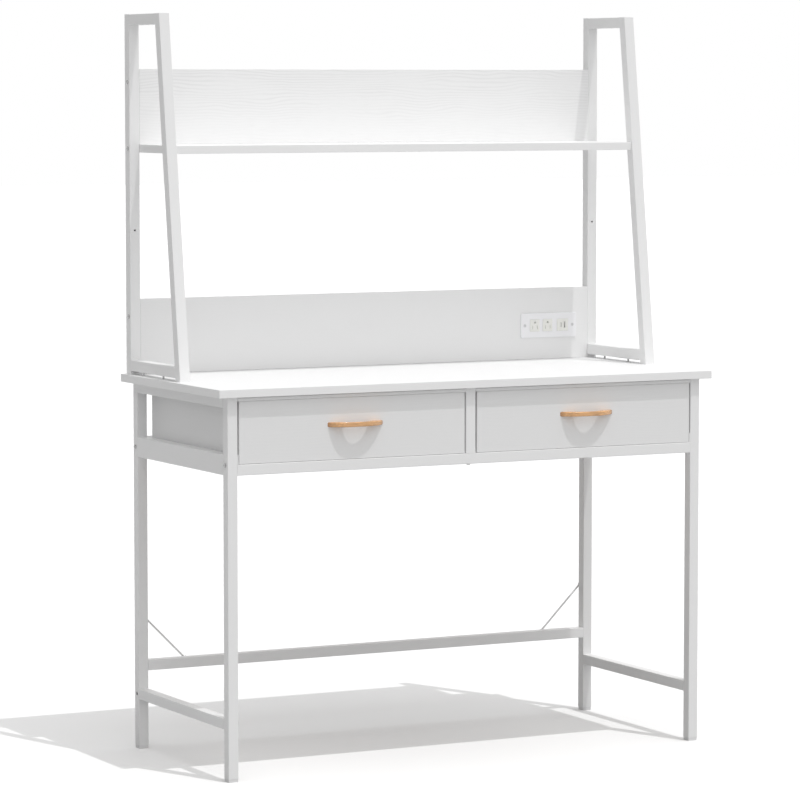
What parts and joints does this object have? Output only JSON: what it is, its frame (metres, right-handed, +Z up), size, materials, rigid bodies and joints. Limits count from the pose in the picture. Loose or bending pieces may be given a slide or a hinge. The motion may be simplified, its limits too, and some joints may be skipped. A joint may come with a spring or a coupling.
{
  "type": "computer desk",
  "caption": "Computer desk on a square-tube steel frame with drawers, bow handles, and a hutch with slanted side frames, a shelf, back panels and a built-in outlet.",
  "frame": {"origin": "on the floor, under the middle of the whole object's box, midway between its sides and between the handles' fronts and the desktop's rear edge", "axes": "+Z up, +X to the right of someone who sits at the desk, +Y to the back, so that the drawers open towards -Y"},
  "size_m": [1.1, 0.484, 1.4785],
  "materials": {
    "coated_board": "white wood-grain paper foil, satin",
    "hardboard": "white-faced hardboard",
    "white_steel": "white powder coat",
    "handle_wood": "clear-lacquered beech",
    "nylon": "moulded nylon",
    "foot_plastic": "moulded polyethylene",
    "bumper_rubber": "moulded rubber",
    "outlet_plastic": "moulded, semi-gloss",
    "socket_plastic": "moulded, satin",
    "zinc_steel": "zinc plated"
  },
  "bodies": {
    "desk": {"desktop": "coated_board", "shelf": "coated_board", "upper_back_panel": "coated_board", "lower_back_panel": "coated_board", "front_rails": "white_steel", "rear_rail": "white_steel", "centre_post": "white_steel", "centre_beam": "white_steel", "rear_stretcher": "white_steel", "corner_braces": "white_steel", "drawer_runners": "white_steel", "left_front_leg": "white_steel", "left_rear_leg": "white_steel", "left_upper_rail": "white_steel", "left_drawer_rail": "white_steel", "left_lower_stretcher": "white_steel", "left_hutch_back_post": "white_steel", "left_hutch_slanted_post": "white_steel", "left_hutch_top_bar": "white_steel", "left_hutch_bottom_bar": "white_steel", "right_front_leg": "white_steel", "right_rear_leg": "white_steel", "right_upper_rail": "white_steel", "right_drawer_rail": "white_steel", "right_lower_stretcher": "white_steel", "right_hutch_back_post": "white_steel", "right_hutch_slanted_post": "white_steel", "right_hutch_top_bar": "white_steel", "right_hutch_bottom_bar": "white_steel", "foot_caps": "foot_plastic", "drawer_bumpers": "bumper_rubber", "outlet_faceplate": "outlet_plastic", "outlet_housing": "outlet_plastic", "outlet_sockets": "socket_plastic", "usb_module": "socket_plastic", "frame_bolts": "zinc_steel", "hutch_bolts": "zinc_steel", "panel_screws": "zinc_steel", "desktop_screws": "zinc_steel", "rear_screws": "zinc_steel", "faceplate_screws": "zinc_steel", "shelf_pins": "zinc_steel"},
    "left_drawer": {"left_drawer_front": "coated_board", "left_drawer_outer_side": "coated_board", "left_drawer_inner_side": "coated_board", "left_drawer_back": "coated_board", "left_drawer_bottom": "hardboard", "left_drawer_stop": "coated_board", "left_drawer_handle": "handle_wood", "left_drawer_glides": "nylon", "left_drawer_fasteners": "zinc_steel"},
    "right_drawer": {"right_drawer_front": "coated_board", "right_drawer_outer_side": "coated_board", "right_drawer_inner_side": "coated_board", "right_drawer_back": "coated_board", "right_drawer_bottom": "hardboard", "right_drawer_stop": "coated_board", "right_drawer_handle": "handle_wood", "right_drawer_glides": "nylon", "right_drawer_fasteners": "zinc_steel"}
  },
  "joints": [
    {"name": "left_drawer_slide", "type": "slide", "parent": "desk", "child": "left_drawer", "axis": [0, -1, 0], "range_m": [0, 0.3]},
    {"name": "right_drawer_slide", "type": "slide", "parent": "desk", "child": "right_drawer", "axis": [0, -1, 0], "range_m": [0, 0.3]}
  ]
}
